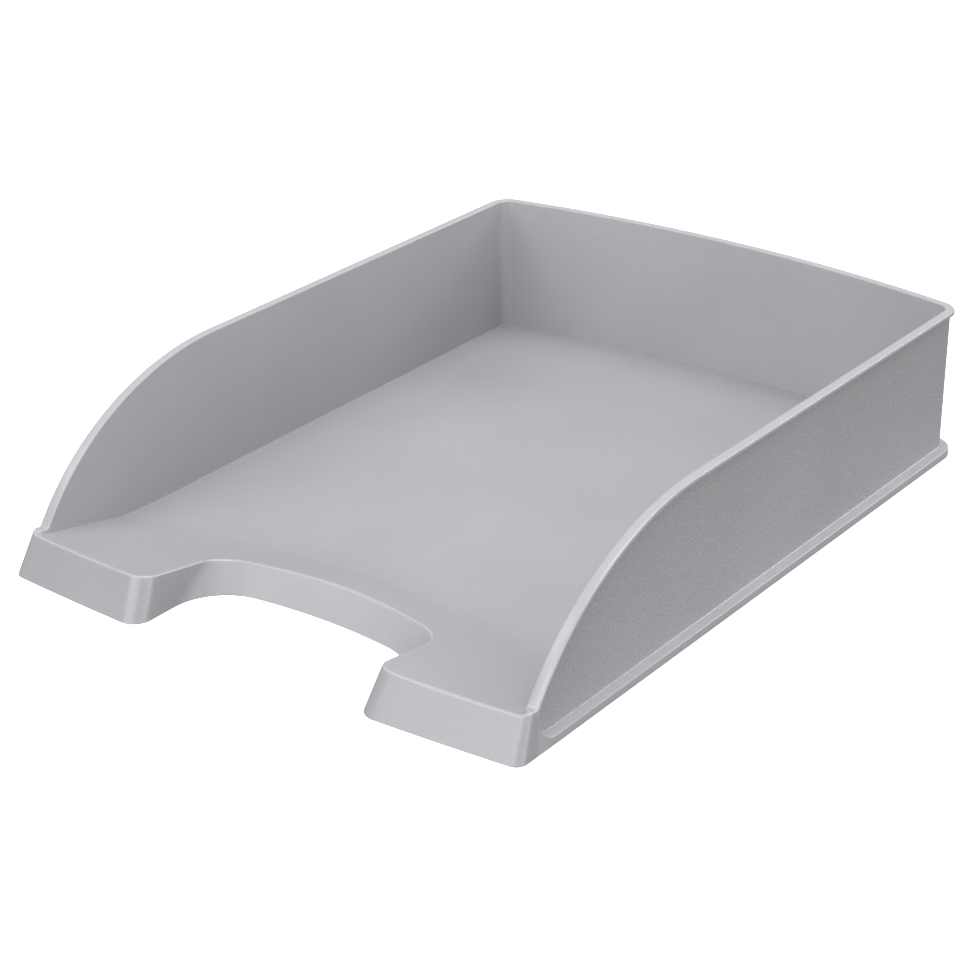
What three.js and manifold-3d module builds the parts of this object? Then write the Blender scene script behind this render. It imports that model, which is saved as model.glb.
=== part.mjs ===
// Stackable desk letter tray for A4 sheets, one injection moulding in grey polystyrene.
// Millimetres, +Z up, origin at the middle of the underside. The open end is towards -Y.
// The moulding is cut along its natural creases into regions, with a narrow kerf between them.

import * as THREE from 'three';
import { mergeVertices } from 'three/addons/utils/BufferGeometryUtils.js';
import Module from 'manifold-3d';

const wasm = await Module();
wasm.setup();

// Overall size, width of the kerf, and thickness of the moulding
const WIDTH = 255;
const DEPTH = 355.8;
const HEIGHT = 70;
const KERF = 0.3;
const SHELL = 2.2;

// Plan outline of the base: straight sides, bowed rear, and a faintly bowed front whose crown
// is lost in the cut-out
const HALF_WIDTH = WIDTH / 2;
const REAR_Y = DEPTH / 2;
const FRONT_CROWN_Y = -179.14;
const REAR_BOW_RADIUS = 600;
const REAR_CORNER_RADIUS = 12.8;
const FRONT_BOW = 1 / 3016;
const FRONT_CORNER_RADIUS = 5;

// Distances of the faces from the base outline, measured inwards
const SKIRT_INNER = 1.9;
const RIM_OUTER = 2.3;
const WALL_OUTER = 4.1;
const WALL_INNER_TOP = 6.6;
const WALL_INNER_FOOT = 7.6;
const REAR_FILLET = 2;

// Levels
const LEDGE_Z = 2;
const SKIRT_TOP_Z = 3.6;
const FLANGE_TOP_Z = 4.4;
const DECK_Z = 5.5;
const RAMP_FOOT_Z = 6.45;
const LUG_LIP_Z = 16.7;
const RIM_THICKNESS = 2;
const RIM_ROUND = 0.7;

// Front edge of the side walls: a quarter ellipse from the rim down to the lugs
const SWOOP_Y = -53.5;
const SWOOP_LENGTH = 120.9;
const SWOOP_DROP = 101.8;
const SWOOP_CENTRE_Z = HEIGHT - SWOOP_DROP;
const SWOOP_FOOT_Y = -158.6;
const SWOOP_STEPS = 24;
const TOE_TOP_Z = 16.7;

// Front lugs: sloped front face, and a side face that leans in a little
const LIP_SETBACK = 8.2;
const FRONT_LEAN = LIP_SETBACK / 16;
const LUG_SIDE_LEAN = 0.125;
const LUG_REAR_Y = -158.9;
const LUG_ROOT_Y = -150.6;
const LUG_ROOT_RADIUS = 8;

// Finger cut-out between the lugs: its walls open upwards and its rear wall is a scoop
const CUTOUT_HALF_WIDTH = 55;
const CUTOUT_REAR_Y = -128.8;
const CUTOUT_BOW_RADIUS = 230;
const CUTOUT_CORNER_RADIUS = 25;
const CUTOUT_SIDE_LEAN = 0.16;
const CUTOUT_REAR_LEAN = 0.95;
const CUTOUT_CORNER_SHRINK = 0.8;
const CUTOUT_SPLIT_X = 40;
const MOUTH_RADIUS = 8;
const LUG_TOP_INNER_X = 60;

// Creases across the floor where it starts to rise, on the middle line
const CREASE_REAR_Y = -87.1;
const CREASE_FRONT_Y = -97.9;
const RAMP_SWELL = 0.085;
const RAMP_SWELL_WIDTH = 42;

// Spans that reach safely past the moulding, for cutting tools
const FAR_FRONT_Y = -190;
const TOOL_LOW_Z = -2;
const TOOL_HIGH_Z = 28;

const ARC_STEPS = 5;
const COLUMNS = 30;

// ---------------------------------------------------------------- surfaces of the floor

const creaseRear = (x) => CREASE_REAR_Y - 0.0008 * x * x;
const creaseFront = (x) => CREASE_FRONT_Y - 0.00145 * x * x;
const frontEdge = (x) => FRONT_CROWN_Y + FRONT_BOW * x * x;

// Slope of the raised front of the floor: it reaches the lip at one height all along,
// and it is steeper on the short run behind the cut-out.
function rampSlope(x) {
  const run = creaseFront(x) - frontEdge(x) - LIP_SETBACK;
  const swell = RAMP_SWELL * Math.exp(-((x / RAMP_SWELL_WIDTH) ** 2));
  return (LUG_LIP_Z - RAMP_FOOT_Z) / run + swell;
}

function floorHeight(x, y) {
  const rear = creaseRear(x);
  const front = creaseFront(x);
  if (y >= rear) {
    return DECK_Z;
  }
  if (y >= front) {
    return DECK_Z + ((RAMP_FOOT_Z - DECK_Z) * (rear - y)) / (rear - front);
  }
  return RAMP_FOOT_Z + rampSlope(x) * (front - y);
}

// ---------------------------------------------------------------- helpers

function moveVertices(geometry, place) {
  const position = geometry.attributes.position;
  const point = new THREE.Vector3();
  for (let i = 0; i < position.count; i += 1) {
    point.fromBufferAttribute(position, i);
    place(point);
    position.setXYZ(i, point.x, point.y, point.z);
  }
  return geometry;
}

function toSolid(geometry) {
  geometry.deleteAttribute('normal');
  geometry.deleteAttribute('uv');
  const merged = mergeVertices(geometry, 1e-4);
  const vertProperties = new Float32Array(merged.attributes.position.array);
  const triVerts = new Uint32Array(merged.index.array);
  return new wasm.Manifold(new wasm.Mesh({ numProp: 3, vertProperties, triVerts }));
}

function toGeometry(solid) {
  const mesh = solid.getMesh();
  const geometry = new THREE.BufferGeometry();
  geometry.setAttribute('position', new THREE.BufferAttribute(mesh.vertProperties, 3));
  geometry.setIndex(new THREE.BufferAttribute(mesh.triVerts, 1));
  return geometry;
}

// A box between two corners
function box(low, high) {
  const geometry = new THREE.BoxGeometry(high[0] - low[0], high[1] - low[1], high[2] - low[2]);
  geometry.translate((low[0] + high[0]) / 2, (low[1] + high[1]) / 2, (low[2] + high[2]) / 2);
  return toSolid(geometry);
}

// A shape drawn in (y, z) and extruded along X between two planes
function sideProfile(shape, lowX, highX) {
  const geometry = new THREE.ExtrudeGeometry(shape, { depth: highX - lowX, bevelEnabled: false });
  moveVertices(geometry, (p) => p.set(lowX + p.z, p.x, p.y));
  return geometry;
}

// A cross-section of (inset, height) points carried along stations. Each station has an
// origin on the outline, an inward direction and an up direction.
function carriedBar(section, stations) {
  const steps = stations.length - 1;
  const geometry = new THREE.ExtrudeGeometry(section, { depth: steps, steps, bevelEnabled: false });
  return moveVertices(geometry, (p) => {
    const station = stations[Math.round(p.z)];
    const inset = p.x;
    const rise = p.y;
    p.copy(station.origin);
    p.addScaledVector(station.inward, inset);
    p.addScaledVector(station.up, rise);
  });
}

// The left-hand twin of a right-hand geometry
function mirrored(geometry) {
  return toGeometry(toSolid(geometry).mirror([1, 0, 0]));
}

// ---------------------------------------------------------------- plan outline stations

const UP = new THREE.Vector3(0, 0, 1);
const CORNER_X = HALF_WIDTH - REAR_CORNER_RADIUS;
const BOW_CENTRE_Y = REAR_Y - REAR_BOW_RADIUS;
const CORNER_Y = BOW_CENTRE_Y + Math.sqrt((REAR_BOW_RADIUS - REAR_CORNER_RADIUS) ** 2 - CORNER_X ** 2);
const BOW_ANGLE = Math.atan2(CORNER_Y - BOW_CENTRE_Y, CORNER_X);

function arcStations(centreX, centreY, radius, from, to, steps) {
  const stations = [];
  for (let i = 0; i <= steps; i += 1) {
    const angle = from + ((to - from) * i) / steps;
    const outward = new THREE.Vector3(Math.cos(angle), Math.sin(angle), 0);
    stations.push({
      origin: new THREE.Vector3(centreX, centreY, 0).addScaledVector(outward, radius),
      inward: outward.clone().negate(),
      up: UP,
    });
  }
  return stations;
}

// Round the rear of the base, from the right side to the left side
function rearStations(level) {
  const right = arcStations(CORNER_X, CORNER_Y, REAR_CORNER_RADIUS, 0, BOW_ANGLE, 6);
  const rear = arcStations(0, BOW_CENTRE_Y, REAR_BOW_RADIUS, BOW_ANGLE, Math.PI - BOW_ANGLE, 16);
  const left = arcStations(-CORNER_X, CORNER_Y, REAR_CORNER_RADIUS, Math.PI - BOW_ANGLE, Math.PI, 6);
  const stations = [...right, ...rear.slice(1), ...left.slice(1)];
  stations.forEach((station) => station.origin.setZ(level));
  return stations;
}

function sideStation(y, z, up = UP) {
  return { origin: new THREE.Vector3(HALF_WIDTH, y, z), inward: new THREE.Vector3(-1, 0, 0), up };
}

// Height of the swoop, or of the curve that runs a constant distance inside it
function swoopHeight(y, inside = 0) {
  const along = Math.min(0, y - SWOOP_Y) / (SWOOP_LENGTH - inside);
  return SWOOP_CENTRE_Z + (SWOOP_DROP - inside) * Math.sqrt(1 - along * along);
}

// ---------------------------------------------------------------- walls, rim and skirt

// The rim is a flat bead with rounded top edges that overhangs the wall on the outside.
function rimSection() {
  const section = new THREE.Shape();
  section.moveTo(RIM_OUTER, -RIM_THICKNESS + KERF / 2);
  section.lineTo(WALL_INNER_TOP, -RIM_THICKNESS + KERF / 2);
  section.lineTo(WALL_INNER_TOP, -RIM_ROUND);
  section.absarc(WALL_INNER_TOP - RIM_ROUND, -RIM_ROUND, RIM_ROUND, 0, Math.PI / 2, false);
  section.lineTo(RIM_OUTER + RIM_ROUND, 0);
  section.absarc(RIM_OUTER + RIM_ROUND, -RIM_ROUND, RIM_ROUND, Math.PI / 2, Math.PI, false);
  return section;
}

function sampledRimSection() {
  return new THREE.Shape(rimSection().getPoints(3));
}

function rimSide() {
  const stations = [];
  const startAngle = Math.asin((SWOOP_FOOT_Y - SWOOP_Y) / SWOOP_LENGTH);
  for (let i = 0; i <= SWOOP_STEPS; i += 1) {
    const angle = startAngle * (1 - i / SWOOP_STEPS);
    const y = SWOOP_Y + SWOOP_LENGTH * Math.sin(angle);
    const z = SWOOP_CENTRE_Z + SWOOP_DROP * Math.cos(angle);
    const up = new THREE.Vector3(0, Math.sin(angle) / SWOOP_LENGTH, Math.cos(angle) / SWOOP_DROP);
    stations.push(sideStation(y, z, up.normalize()));
  }
  stations.push(sideStation(CORNER_Y - KERF, HEIGHT));
  return carriedBar(sampledRimSection(), stations);
}

function rimRear() {
  return carriedBar(sampledRimSection(), rearStations(HEIGHT));
}

// Skirt and flange: a short outer face, and a ledge that reaches in to the wall.
function skirtSection() {
  const flangeInner = WALL_OUTER - KERF;
  return new THREE.Shape([
    new THREE.Vector2(0, 0),
    new THREE.Vector2(SKIRT_INNER, 0),
    new THREE.Vector2(SKIRT_INNER, LEDGE_Z),
    new THREE.Vector2(flangeInner, LEDGE_Z),
    new THREE.Vector2(flangeInner, FLANGE_TOP_Z),
    new THREE.Vector2(0.4, SKIRT_TOP_Z + 0.3),
    new THREE.Vector2(0, SKIRT_TOP_Z),
  ]);
}

function skirtSide() {
  const stations = [sideStation(LUG_ROOT_Y + KERF, 0), sideStation(CORNER_Y - KERF, 0)];
  return carriedBar(skirtSection(), stations);
}

function skirtRear() {
  return carriedBar(skirtSection(), rearStations(0));
}

// Rear wall: upright outside, a little draft inside, and a soft fillet onto the deck
function rearWall() {
  const top = HEIGHT - RIM_THICKNESS - KERF / 2;
  const filletTop = DECK_Z + REAR_FILLET;
  const section = new THREE.Shape();
  section.moveTo(WALL_OUTER, LEDGE_Z);
  section.lineTo(WALL_INNER_FOOT + REAR_FILLET, LEDGE_Z);
  section.lineTo(WALL_INNER_FOOT + REAR_FILLET, DECK_Z);
  section.absarc(WALL_INNER_FOOT + REAR_FILLET, filletTop, REAR_FILLET, -Math.PI / 2, -Math.PI, true);
  section.lineTo(WALL_INNER_TOP, top);
  section.lineTo(WALL_OUTER, top);
  return carriedBar(new THREE.Shape(section.getPoints(4)), rearStations(0));
}

// Side wall: everything under the swoop, from the lug's sloped front to the rear corner
function sideWall() {
  const inside = RIM_THICKNESS + KERF / 2;
  const slopeFoot = frontEdge(HALF_WIDTH - WALL_OUTER) + (SHELL + KERF) * Math.hypot(1, FRONT_LEAN);
  const profile = new THREE.Shape();
  profile.moveTo(slopeFoot + FRONT_LEAN * LEDGE_Z, LEDGE_Z);
  profile.lineTo(CORNER_Y - KERF, LEDGE_Z);
  profile.lineTo(CORNER_Y - KERF, HEIGHT - inside);
  const toeRear = Math.sqrt(1 - ((TOE_TOP_Z - SWOOP_CENTRE_Z) / (SWOOP_DROP - inside)) ** 2);
  const toeY = SWOOP_Y - (SWOOP_LENGTH - inside) * toeRear;
  for (let i = 0; i <= SWOOP_STEPS; i += 1) {
    const y = SWOOP_Y + (toeY - SWOOP_Y) * Math.sin(((i / SWOOP_STEPS) * Math.PI) / 2);
    profile.lineTo(y, swoopHeight(y, inside));
  }
  profile.lineTo(slopeFoot + FRONT_LEAN * TOE_TOP_Z, TOE_TOP_Z);
  const footX = HALF_WIDTH - WALL_INNER_FOOT;
  const outerX = HALF_WIDTH - WALL_OUTER;
  const draft = (WALL_INNER_FOOT - WALL_INNER_TOP) / (HEIGHT - DECK_Z);
  const geometry = sideProfile(profile, footX, outerX);
  return moveVertices(geometry, (p) => {
    if (p.x < outerX - 0.01) {
      p.x += draft * Math.max(0, p.z - DECK_Z);
    }
  });
}

// ---------------------------------------------------------------- level deck

function floorDeck() {
  const sideX = HALF_WIDTH - WALL_INNER_FOOT - KERF;
  const rearInset = WALL_INNER_FOOT + REAR_FILLET + KERF;
  const cornerRadius = REAR_CORNER_RADIUS - rearInset;
  const frontY = creaseRear(sideX) + KERF / 2;
  const apexY = 2 * (creaseRear(0) + KERF / 2) - frontY;
  const outline = new THREE.Shape();
  outline.moveTo(-sideX, frontY);
  outline.quadraticCurveTo(0, apexY, sideX, frontY);
  outline.lineTo(sideX, CORNER_Y - KERF);
  outline.lineTo(CORNER_X + cornerRadius, CORNER_Y);
  outline.absarc(CORNER_X, CORNER_Y, cornerRadius, 0, BOW_ANGLE, false);
  outline.absarc(0, BOW_CENTRE_Y, REAR_BOW_RADIUS - rearInset, BOW_ANGLE, Math.PI - BOW_ANGLE, false);
  outline.absarc(-CORNER_X, CORNER_Y, cornerRadius, Math.PI - BOW_ANGLE, Math.PI, false);
  outline.lineTo(-sideX, CORNER_Y - KERF);
  const settings = { depth: SHELL, bevelEnabled: false, curveSegments: 16 };
  const geometry = new THREE.ExtrudeGeometry(outline, settings);
  geometry.translate(0, 0, DECK_Z - SHELL);
  return geometry;
}

// ---------------------------------------------------------------- raised front of the floor

// Block under the floor surface lowered by an inset. It starts behind the rear crease by a
// setback, and runs past the front.
function floorBlock(inset, halfWidth, setback) {
  const rows = [creaseRear, creaseFront, () => FAR_FRONT_Y];
  const geometry = new THREE.BoxGeometry(1, 1, 1, COLUMNS, rows.length - 1, 1);
  moveVertices(geometry, (p) => {
    const x = 2 * p.x * halfWidth;
    const row = Math.round((0.5 - p.y) * (rows.length - 1));
    const y = rows[row](x) + (row === 0 ? setback : 0);
    const low = inset > 0 ? TOOL_LOW_Z : 0;
    p.set(x, y, p.z > 0 ? floorHeight(x, y) - inset : low);
  });
  return toSolid(geometry);
}

// Everything in front of the sloped front face, or of a face inset behind it
function frontTool(inset) {
  const geometry = new THREE.BoxGeometry(1, 1, 1, COLUMNS, 1, 1);
  moveVertices(geometry, (p) => {
    const x = 2 * p.x * (HALF_WIDTH + 1);
    const z = p.z > 0 ? TOOL_HIGH_Z : TOOL_LOW_Z;
    const face = frontEdge(x) + FRONT_LEAN * z + inset * Math.hypot(1, FRONT_LEAN);
    p.set(x, p.y > 0 ? face : FAR_FRONT_Y - 5, z);
  });
  return toSolid(geometry);
}

// Rear edge of the cut-out in plan, as (x, y) for a column that runs from -1 to 1
function cutoutRearEdge(column, z, inset) {
  const halfWidth = CUTOUT_HALF_WIDTH + CUTOUT_SIDE_LEAN * z + inset;
  const radius = CUTOUT_CORNER_RADIUS - CUTOUT_CORNER_SHRINK * z + inset;
  const bowRadius = CUTOUT_BOW_RADIUS + inset;
  const bowCentreY = CUTOUT_REAR_Y + CUTOUT_REAR_LEAN * z + inset - bowRadius;
  const cornerX = halfWidth - radius;
  const cornerY = bowCentreY + Math.sqrt((bowRadius - radius) ** 2 - cornerX ** 2);
  const bowEnd = Math.atan2(cornerX, cornerY - bowCentreY);
  const side = Math.sign(column);
  const reach = Math.abs(column);
  if (reach <= 0.5) {
    const angle = side * bowEnd * reach * 2;
    return [bowRadius * Math.sin(angle), bowCentreY + bowRadius * Math.cos(angle)];
  }
  const angle = bowEnd + (Math.PI / 2 - bowEnd) * (reach * 2 - 1);
  return [side * (cornerX + radius * Math.sin(angle)), cornerY + radius * Math.cos(angle)];
}

function cutoutTool(inset) {
  const columns = 4 * ARC_STEPS;
  const geometry = new THREE.BoxGeometry(2, 1, 1, columns, 1, 1);
  moveVertices(geometry, (p) => {
    const z = p.z > 0 ? TOOL_HIGH_Z : TOOL_LOW_Z;
    const [x, y] = cutoutRearEdge(p.x, z, inset);
    p.set(x, p.y > 0 ? y : FAR_FRONT_Y - 5, z);
  });
  return toSolid(geometry);
}

// The sliver outside a rounded upright edge where two faces meet at a corner. The corner is
// at (x, y) on the level of the desk, and it leans with the two faces as it rises.
function edgeRounding(x, y, side, radius, inset, leanX) {
  const shape = new THREE.Shape();
  shape.moveTo(-1, -1);
  shape.lineTo(radius + inset, -1);
  shape.lineTo(radius + inset, inset);
  shape.lineTo(radius, inset);
  shape.absarc(radius, radius, radius - inset, -Math.PI / 2, -Math.PI, true);
  shape.lineTo(-1, radius);
  const depth = TOOL_HIGH_Z - TOOL_LOW_Z;
  const settings = { depth, bevelEnabled: false, curveSegments: ARC_STEPS };
  const geometry = new THREE.ExtrudeGeometry(shape, settings);
  moveVertices(geometry, (p) => {
    const z = p.z + TOOL_LOW_Z;
    p.set(x + p.x + leanX * z, y + p.y + FRONT_LEAN * z, z);
  });
  const solid = toSolid(geometry);
  return side > 0 ? solid : solid.mirror([1, 0, 0]);
}

function mouthRoundings(inset) {
  const y = frontEdge(CUTOUT_HALF_WIDTH);
  const right = edgeRounding(CUTOUT_HALF_WIDTH, y, 1, MOUTH_RADIUS, inset, CUTOUT_SIDE_LEAN);
  const left = edgeRounding(CUTOUT_HALF_WIDTH, y, -1, MOUTH_RADIUS, inset, CUTOUT_SIDE_LEAN);
  return right.add(left);
}

// Cut-out with its rounded mouth
function mouthTool(inset) {
  return cutoutTool(inset).add(mouthRoundings(inset));
}

// The raised front, cut along its creases into thin regions
function frontRegions() {
  const outerX = HALF_WIDTH - WALL_OUTER;
  const topX = HALF_WIDTH - WALL_INNER_FOOT - KERF;
  const skin = floorBlock(0, outerX, -KERF / 2).subtract(frontTool(0)).subtract(mouthTool(0));
  const core = floorBlock(SHELL, HALF_WIDTH, 5).subtract(frontTool(SHELL)).subtract(mouthTool(SHELL));
  const nearCutout = mouthTool(SHELL);
  const clearOfCutout = skin.subtract(mouthTool(SHELL + KERF));
  const nearFront = frontTool(SHELL);
  const rimOfCutout = skin.intersect(nearCutout);

  const sideBox = box([CUTOUT_SPLIT_X + KERF / 2, FAR_FRONT_Y, TOOL_LOW_Z], [outerX, 0, TOOL_HIGH_Z]);
  const middleBox = box(
    [KERF / 2 - CUTOUT_SPLIT_X, FAR_FRONT_Y, TOOL_LOW_Z],
    [CUTOUT_SPLIT_X - KERF / 2, 0, TOOL_HIGH_Z],
  );
  const cutoutRear = rimOfCutout.intersect(middleBox);
  const cutoutSide = rimOfCutout.intersect(sideBox);
  const lugFront = clearOfCutout.intersect(nearFront).intersect(sideBox);

  const sheet = clearOfCutout.subtract(frontTool(SHELL + KERF)).subtract(core);
  const inTray = box([-topX, FAR_FRONT_Y, TOOL_LOW_Z], [topX, 0, TOOL_HIGH_Z]);
  const floorSheet = sheet.intersect(inTray);
  const blend = floorSheet.subtract(creaseTool(-KERF / 2));
  const raised = floorSheet.intersect(creaseTool(KERF / 2));
  const bridgeX = LUG_TOP_INNER_X - KERF / 2;
  const bridgeBox = box([-bridgeX, FAR_FRONT_Y, TOOL_LOW_Z], [bridgeX, 0, TOOL_HIGH_Z]);
  const lugBox = box([bridgeX + KERF, FAR_FRONT_Y, TOOL_LOW_Z], [topX, 0, TOOL_HIGH_Z]);
  const bridge = raised.intersect(bridgeBox);
  const lugTop = raised.intersect(lugBox);
  return { blend, bridge, cutoutRear, cutoutSide, lugFront, lugTop };
}

// Everything in front of the crease where the raised front begins
function creaseTool(setback) {
  const geometry = new THREE.BoxGeometry(1, 1, 1, COLUMNS, 1, 1);
  moveVertices(geometry, (p) => {
    const x = 2 * p.x * HALF_WIDTH;
    const y = p.y > 0 ? creaseFront(x) - setback : FAR_FRONT_Y - 5;
    p.set(x, y, p.z > 0 ? TOOL_HIGH_Z : TOOL_LOW_Z);
  });
  return toSolid(geometry);
}

// Outer cheek of a lug, flush with the base edge; its root sweeps down to the flange
function lugCheek() {
  const lowX = HALF_WIDTH - WALL_OUTER + KERF;
  const rearZ = floorHeight(HALF_WIDTH - WALL_INNER_FOOT, LUG_REAR_Y);
  const profile = new THREE.Shape();
  profile.moveTo(FAR_FRONT_Y, 0);
  profile.lineTo(LUG_ROOT_Y, 0);
  profile.lineTo(LUG_ROOT_Y, FLANGE_TOP_Z);
  const rootZ = FLANGE_TOP_Z + LUG_ROOT_RADIUS;
  const rootY = LUG_REAR_Y + LUG_ROOT_RADIUS;
  profile.absarc(rootY, rootZ, LUG_ROOT_RADIUS, -Math.PI / 2, -Math.PI, true);
  profile.lineTo(LUG_REAR_Y, rearZ);
  profile.lineTo(frontEdge(HALF_WIDTH) + LIP_SETBACK, LUG_LIP_Z);
  profile.lineTo(FAR_FRONT_Y, LUG_LIP_Z);
  const geometry = sideProfile(new THREE.Shape(profile.getPoints(ARC_STEPS)), lowX, HALF_WIDTH);
  moveVertices(geometry, (p) => {
    if (p.x > HALF_WIDTH - 0.01) {
      p.x -= LUG_SIDE_LEAN * p.z;
    }
  });
  const block = toSolid(geometry).subtract(frontTool(0));
  return block.subtract(outerCornerTool());
}

// Rounding of the outer front corner of a right-hand lug
function outerCornerTool() {
  const rounding = edgeRounding(0, 0, 1, FRONT_CORNER_RADIUS, 0, LUG_SIDE_LEAN);
  return rounding.mirror([1, 0, 0]).translate([HALF_WIDTH, frontEdge(HALF_WIDTH), 0]);
}

// ---------------------------------------------------------------- assembly

const tray = new THREE.Group();

function polystyrene() {
  return new THREE.MeshStandardMaterial({ color: 0x9c9a9f, roughness: 0.48, metalness: 0 });
}

function addRegion(name, geometry) {
  const mesh = new THREE.Mesh(geometry, polystyrene());
  mesh.name = name;
  tray.add(mesh);
}

function addPair(name, rightGeometry) {
  addRegion(`${name}_left`, mirrored(rightGeometry));
  addRegion(`${name}_right`, rightGeometry);
}

const front = frontRegions();

addRegion('floor_deck', floorDeck());
addRegion('floor_blend', toGeometry(front.blend));
addRegion('front_bridge', toGeometry(front.bridge));
addRegion('cutout_rear', toGeometry(front.cutoutRear));
addPair('cutout_side', toGeometry(front.cutoutSide));
addPair('lug_top', toGeometry(front.lugTop));
addPair('lug_front', toGeometry(front.lugFront));
addPair('lug_cheek', toGeometry(lugCheek()));
addPair('side_wall', sideWall());
addRegion('rear_wall', rearWall());
addPair('rim_side', rimSide());
addRegion('rim_rear', rimRear());
addPair('skirt_side', skirtSide());
addRegion('skirt_rear', skirtRear());

export default tray;
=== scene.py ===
# Stackable desk letter tray in grained grey polystyrene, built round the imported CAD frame.
# The one moulding is built as a ring of cross-sections that runs from the middle of the rear
# wall, round the corner, along the side, down the swoop, round the front lug and along the
# finger cut-out to its middle. The floor fills the ring. Lengths are in millimetres until a
# mesh is made, and the studio is in metres.

import math

import bmesh
import bpy
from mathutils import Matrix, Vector
from mathutils.geometry import delaunay_2d_cdt


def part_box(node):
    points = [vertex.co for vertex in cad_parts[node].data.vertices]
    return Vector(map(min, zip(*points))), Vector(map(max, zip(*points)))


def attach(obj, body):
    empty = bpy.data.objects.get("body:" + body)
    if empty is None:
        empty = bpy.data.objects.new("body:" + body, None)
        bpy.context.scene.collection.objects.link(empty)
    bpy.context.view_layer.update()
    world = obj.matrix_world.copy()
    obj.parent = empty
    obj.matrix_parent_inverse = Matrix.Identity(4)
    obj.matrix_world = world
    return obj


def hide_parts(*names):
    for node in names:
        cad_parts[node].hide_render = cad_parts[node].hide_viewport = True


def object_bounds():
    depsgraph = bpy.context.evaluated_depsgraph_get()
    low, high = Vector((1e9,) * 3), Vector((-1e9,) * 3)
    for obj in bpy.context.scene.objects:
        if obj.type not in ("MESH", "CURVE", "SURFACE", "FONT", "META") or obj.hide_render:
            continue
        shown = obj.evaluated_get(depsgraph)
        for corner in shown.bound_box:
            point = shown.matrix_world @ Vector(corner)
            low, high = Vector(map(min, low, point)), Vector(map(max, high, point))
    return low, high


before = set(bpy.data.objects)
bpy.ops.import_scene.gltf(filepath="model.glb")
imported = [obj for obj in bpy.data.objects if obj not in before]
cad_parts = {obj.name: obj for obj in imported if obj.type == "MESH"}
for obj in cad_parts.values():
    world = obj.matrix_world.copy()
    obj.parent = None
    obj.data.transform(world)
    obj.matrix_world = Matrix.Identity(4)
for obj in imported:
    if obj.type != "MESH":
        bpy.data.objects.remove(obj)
CAD_LOW, CAD_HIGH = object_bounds()
MM = 1000.0


def node_box(node):
    low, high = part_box(node)
    return low * MM, high * MM


# ------------------------------------------------------------ sizes taken from the frame

HALF_WIDTH = CAD_HIGH.x * MM
REAR_Y = CAD_HIGH.y * MM
HEIGHT = CAD_HIGH.z * MM
DECK_Z = node_box("floor_deck")[1].z
RIM_OUTER = HALF_WIDTH - node_box("rim_side_right")[1].x
WALL_OUTER = HALF_WIDTH - node_box("side_wall_right")[1].x
WALL_FOOT = HALF_WIDTH - node_box("side_wall_right")[0].x
RIM_INNER = HALF_WIDTH - node_box("rim_side_right")[0].x

# ------------------------------------------------------------ shape of the moulding

SHELL = 2.2
REAR_BOW_RADIUS = 600.0
REAR_CORNER_RADIUS = 12.8

# Front edge and the raised floor behind it
FRONT_CROWN_Y = -179.14
FRONT_BOW = 1 / 3016
FRONT_FACE_HEIGHT = 16.0
LIP_SETBACK = 8.2
FRONT_LEAN = LIP_SETBACK / FRONT_FACE_HEIGHT
LUG_LIP_Z = 16.7
RAMP_FOOT_Z = 6.45
RAMP_SWELL = 0.085
RAMP_SWELL_WIDTH = 42.0

# The two creases of the floor, and the faint bead along each
CREASE_REAR_Y = -87.1
CREASE_REAR_BOW = 0.0008
CREASE_REAR_ROUND = 0.4
CREASE_FRONT_Y = -97.9
CREASE_FRONT_BOW = 0.00145
CREASE_FRONT_ROUND = 0.6
CREASE_BEAD = 0.14
CREASE_BEAD_WIDTH = 0.5
CREASE_BEAD_REACH = 117.0
CREASE_BEAD_FADE = 10.0

# Skirt, flange and rim
SKIRT_EDGE = 0.25
SKIRT_INNER = 1.9
LEDGE_Z = 2.0
LEDGE_INNER = 7.1
FLANGE_Z = 3.7
FLANGE_RISE = 0.9
RIM_DEPTH = 1.9
RIM_UNDERCUT = 0.25

# Roundings of the wall's corners, from the flange up over the rim and down to the floor
FLANGE_ROUND = 0.5
POCKET_LOW_ROUND = 0.7
POCKET_HIGH_ROUND = 0.4
RIM_LOW_ROUND = 0.3
RIM_OUTER_ROUND = 0.9
RIM_INNER_ROUND = 0.5
SIDE_FOOT_ROUND = 0.4
REAR_FOOT_ROUND = 0.15
FOOT_UNDERCUT = 0.1

# The swoop's ellipse, and the front end of the pocket
SWOOP_Y = -53.5
SWOOP_LENGTH = 120.9
SWOOP_DROP = 101.8
SWOOP_CENTRE_Z = HEIGHT - SWOOP_DROP
SWOOP_END = math.radians(56.8)
POCKET_FRONT_Y = -159.4
POCKET_ARC = 8.0
POCKET_ARC_Y = POCKET_FRONT_Y + POCKET_ARC
POCKET_ARC_SHARE = 0.9
POCKET_MEET_Z = 12.9
POCKET_TOP_END = math.radians(62.75)
POCKET_TOP_SHARE = 0.8
POCKET_FOOT_LEAD = 1.0

# The hollow at the swoop's foot, and the cheek of the lug in front of it. KINK_FOOT_LAG is how
# far behind the hollow the wall's inner foot ends, and KINK_INSET is where the hollow's height
# above the floor is taken.
KINK_TOP_Y = -158.6
KINK_TOP_ANGLE = math.asin((SWOOP_Y - KINK_TOP_Y) / SWOOP_LENGTH)
KINK_CORNER = (-159.3, 17.25)
KINK_FOOT = (-160.3, 17.2)
KINK_FOOT_LAG = 1.6
KINK_INSET = 5.0
CHEEK_LEAN = 0.135
CHEEK_LEAN_GAIN = 1.4
CHEEK_BASE_Y = -163.0

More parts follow.
